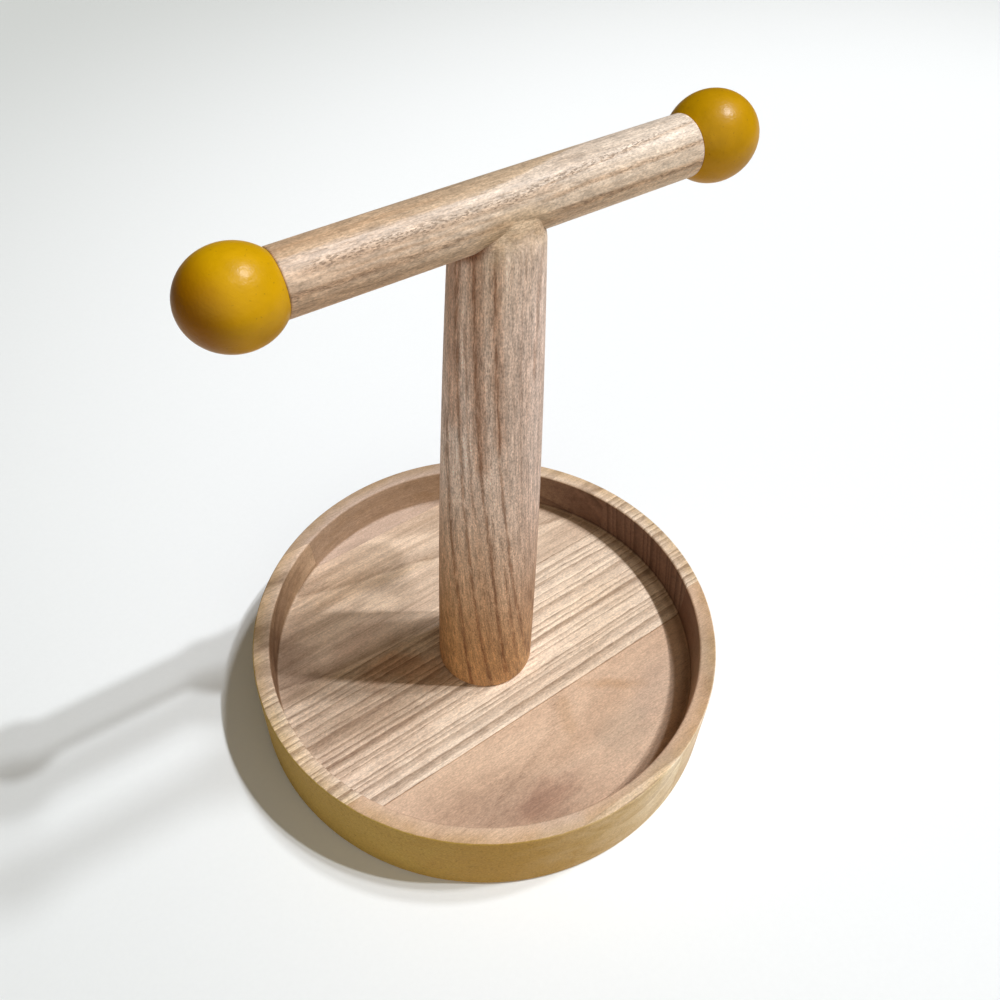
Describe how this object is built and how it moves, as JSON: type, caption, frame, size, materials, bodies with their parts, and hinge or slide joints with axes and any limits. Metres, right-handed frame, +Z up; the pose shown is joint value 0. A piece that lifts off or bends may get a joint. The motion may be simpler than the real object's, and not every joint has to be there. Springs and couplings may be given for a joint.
{
  "type": "t-bar jewellery stand",
  "caption": "Wooden T-bar jewellery stand: a tapered post with a round crossbar and ball ends, standing in a round turned tray with a low rim.",
  "frame": {"origin": "middle of the tray's flat underside, on the surface the stand rests on", "axes": "+Z up along the post; +X along the crossbar, towards ball_right; +Y towards the rear strip of the tray"},
  "size_m": [0.14, 0.14, 0.1785],
  "materials": {
    "striped_ash": "sanded and matt oiled, straight stripes; the outer wall is painted mustard",
    "plain_ash": "sanded and matt oiled, plain face grain; the outer wall is painted mustard",
    "flame_ash": "sanded and matt oiled, flame figure; the outer wall is painted mustard",
    "pale_ash": "sanded and matt oiled, pale sapwood; the outer wall is painted mustard",
    "post_ash": "sanded and matt oiled, brown heartwood with dark grain lines",
    "bar_ash": "sanded, satin, pale with open pores",
    "dowel_beech": "plain dowel",
    "mustard_lacquer": "satin mustard lacquer on turned wood",
    "zinc_plate": "zinc plated"
  },
  "bodies": {
    "root": {"tray_board_middle": "striped_ash", "tray_board_front": "plain_ash", "tray_board_back": "flame_ash", "tray_strip_rear": "plain_ash", "tray_strip_front": "pale_ash", "post": "post_ash", "crossbar": "bar_ash", "ball_left": "mustard_lacquer", "ball_right": "mustard_lacquer", "post_screw": "zinc_plate", "bar_dowel": "dowel_beech", "ball_dowel_left": "dowel_beech", "ball_dowel_right": "dowel_beech"}
  },
  "joints": []
}
